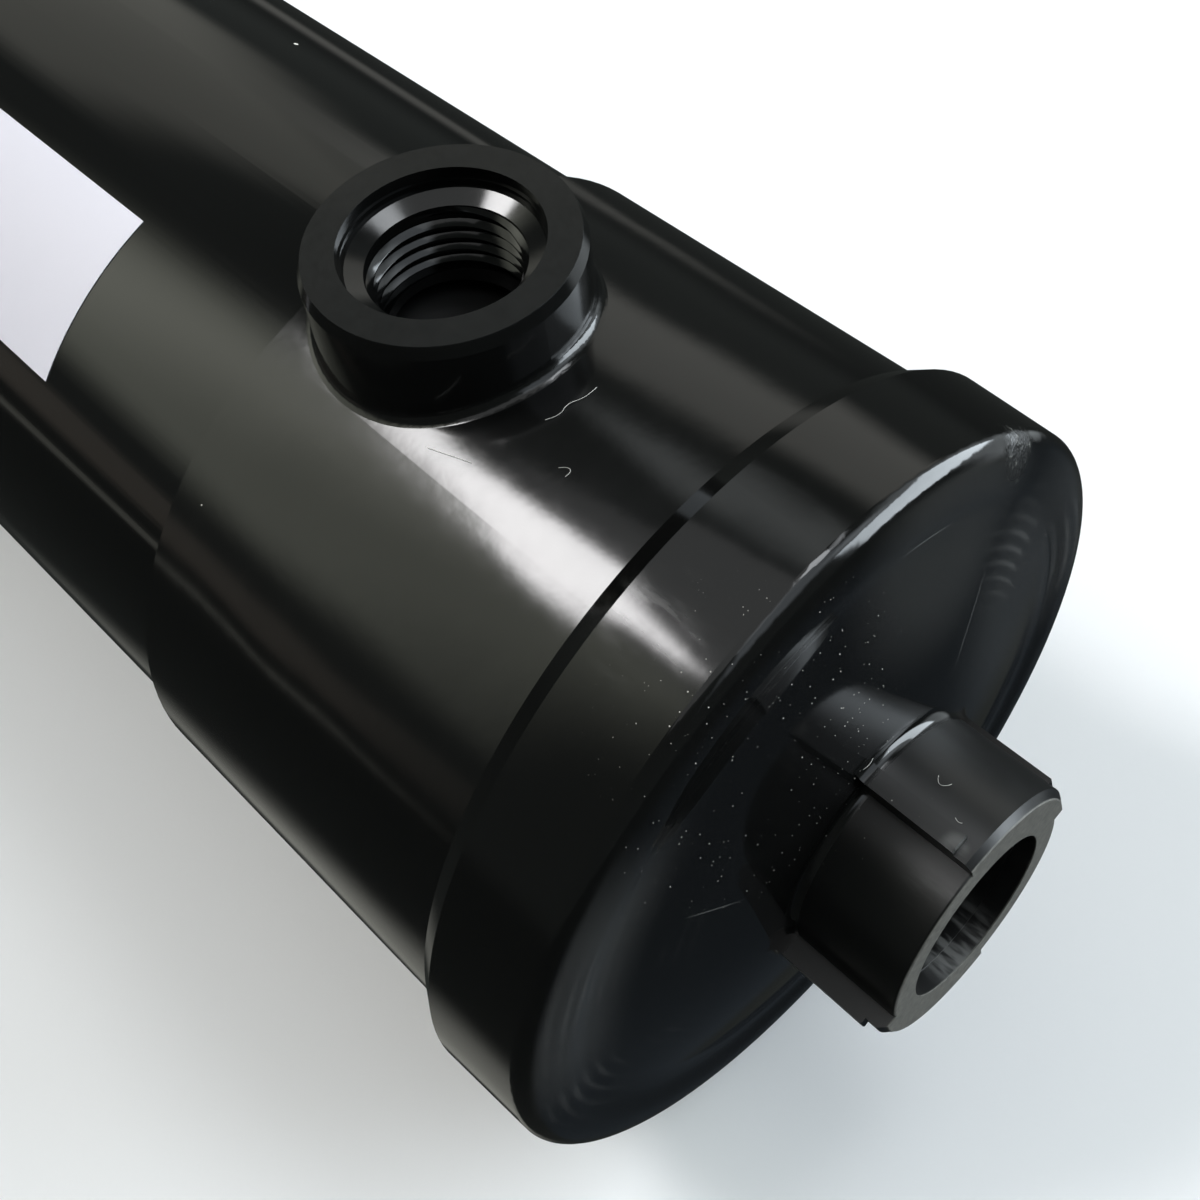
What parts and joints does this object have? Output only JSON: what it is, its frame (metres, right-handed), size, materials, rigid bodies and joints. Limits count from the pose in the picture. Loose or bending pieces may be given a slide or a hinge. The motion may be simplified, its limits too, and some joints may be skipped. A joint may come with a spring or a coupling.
{
  "type": "hollow fibre degassing module",
  "caption": "Black plastic degassing module: round shell tube with glued headers, threaded side ports, domed end caps with central pipe nozzles, and a fibre bundle inside.",
  "frame": {"origin": "on the shell tube's axis at mid-length, where the holding bands centre the tube", "axes": "+X along the module to the pictured end, +Z out of the side ports, +Y to the side"},
  "size_m": [0.673, 0.18, 0.1913],
  "materials": {
    "black_shell": "gloss",
    "black_cap": "gloss",
    "potting_resin": "satin",
    "fibre_mat": "matte",
    "core_plastic": "satin",
    "net_plastic": "satin",
    "band_tape": "satin",
    "label_paper": "satin"
  },
  "bodies": {
    "root": {"shell_tube": "black_shell", "front_header": "black_shell", "rear_header": "black_shell", "front_end_cap": "black_cap", "rear_end_cap": "black_cap", "front_tube_sheet": "potting_resin", "rear_tube_sheet": "potting_resin", "fibre_bundle": "fibre_mat", "core_tube": "core_plastic", "front_core_plug": "core_plastic", "rear_core_plug": "core_plastic", "bundle_sleeve": "net_plastic", "front_bundle_band": "band_tape", "rear_bundle_band": "band_tape", "product_label": "label_paper"}
  },
  "joints": []
}
